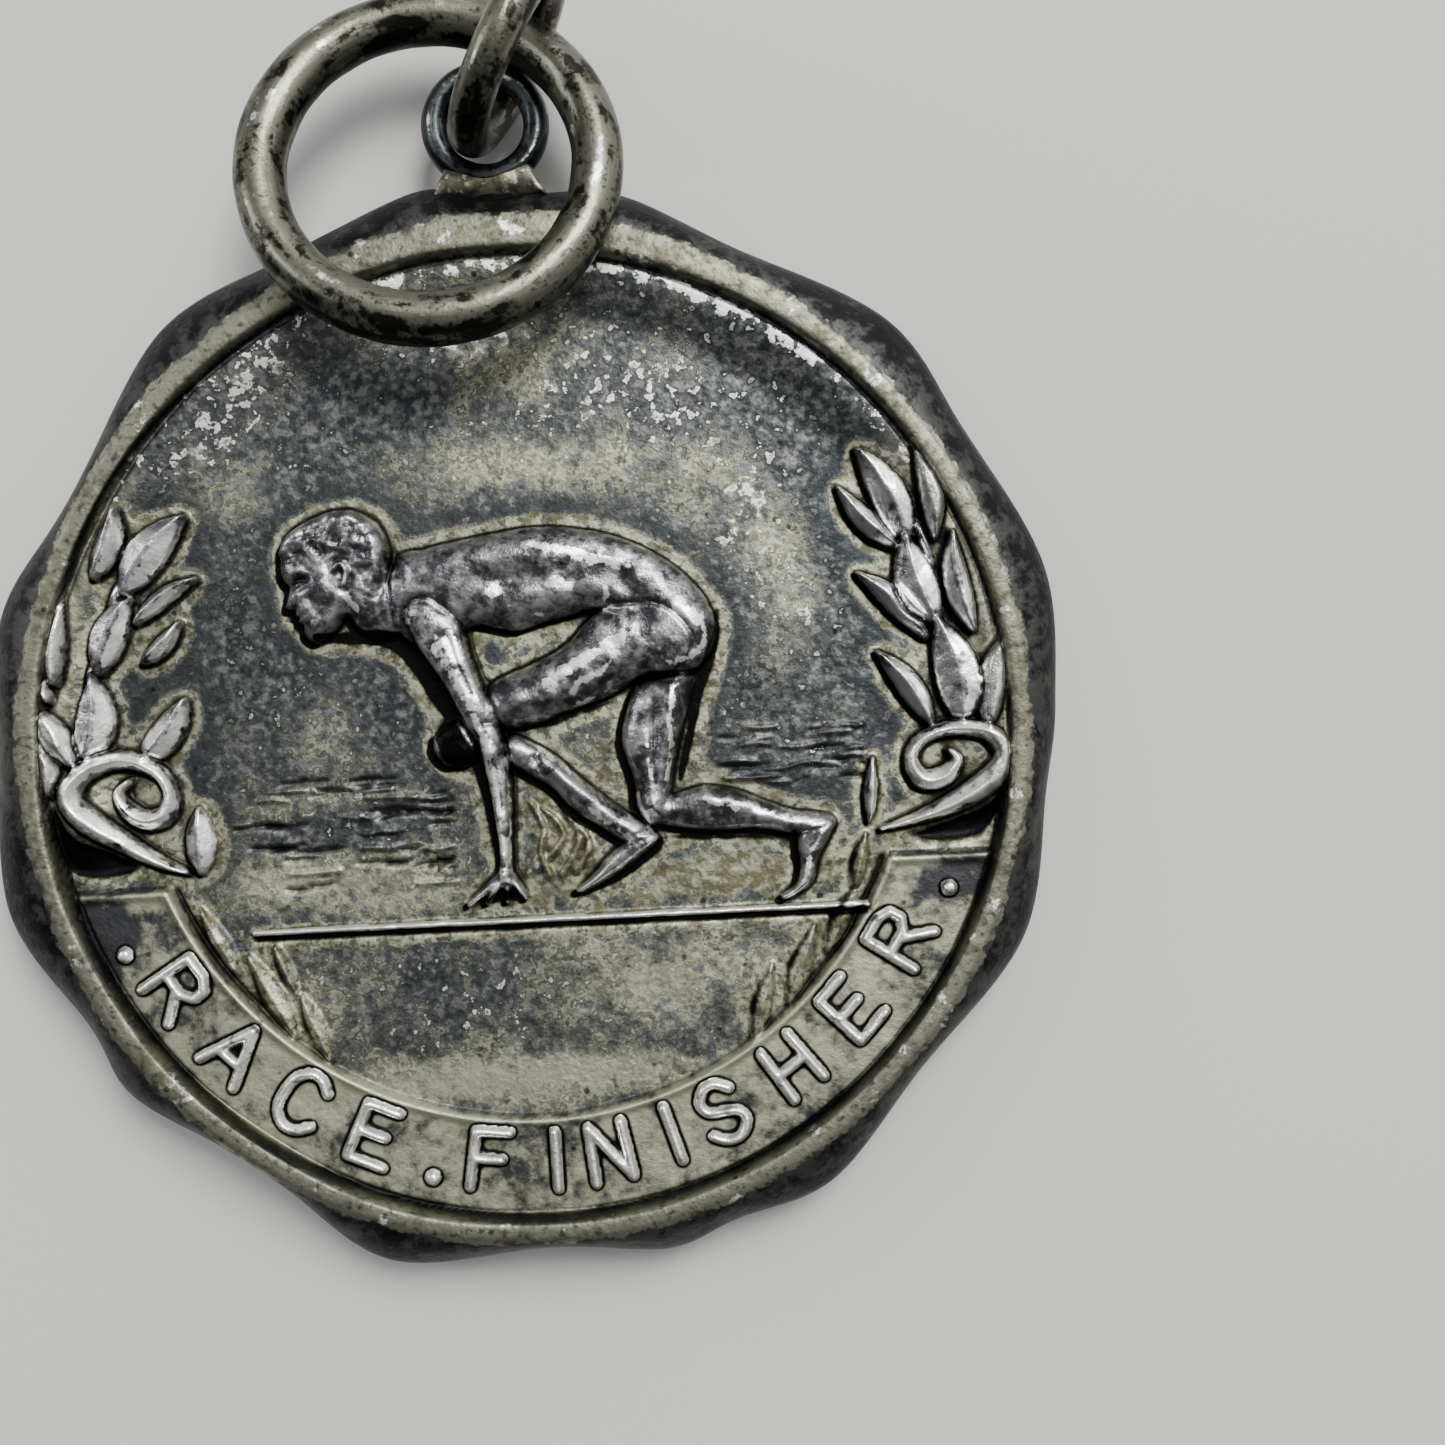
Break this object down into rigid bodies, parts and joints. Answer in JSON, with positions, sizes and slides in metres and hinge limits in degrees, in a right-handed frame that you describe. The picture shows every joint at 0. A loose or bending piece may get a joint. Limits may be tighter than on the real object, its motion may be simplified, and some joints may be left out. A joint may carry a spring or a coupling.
{
  "type": "sports finisher medal",
  "caption": "Struck silver athletics medal with a crouching runner, laurels and a scalloped rim, hung from a soldered eyelet, a small link and a suspension ring.",
  "frame": {"origin": "centre of the disc on its flat back face", "axes": "+Z out of the struck face, +Y from the disc's centre towards the eyelet, +X to the right of someone looking at the face"},
  "size_m": [0.0288, 0.0339, 0.0056],
  "materials": {
    "medal_silver": "tarnished silver, dark in the recesses and bright on the worn high points",
    "fitting_silver": "drawn silver wire with dark tarnish blotches",
    "solder": "yellowed silver solder"
  },
  "bodies": {
    "medal": {"medal_disc": "medal_silver", "eyelet": "fitting_silver", "solder_fillet": "solder"},
    "link": {"connecting_link": "fitting_silver"},
    "ring": {"suspension_ring": "fitting_silver"}
  },
  "joints": [
    {"name": "link_flap", "type": "hinge", "parent": "medal", "child": "link", "pos_m": [0.00063, 0.01728, 0.00152], "axis": [-0.885, 0.4656, 0], "range_deg": [0, 120]},
    {"name": "ring_flap", "type": "hinge", "parent": "link", "child": "ring", "pos_m": [0.00116, 0.018, 0.00217], "axis": [-0.822, 0.561, -0.0979], "range_deg": [0, 175]}
  ]
}
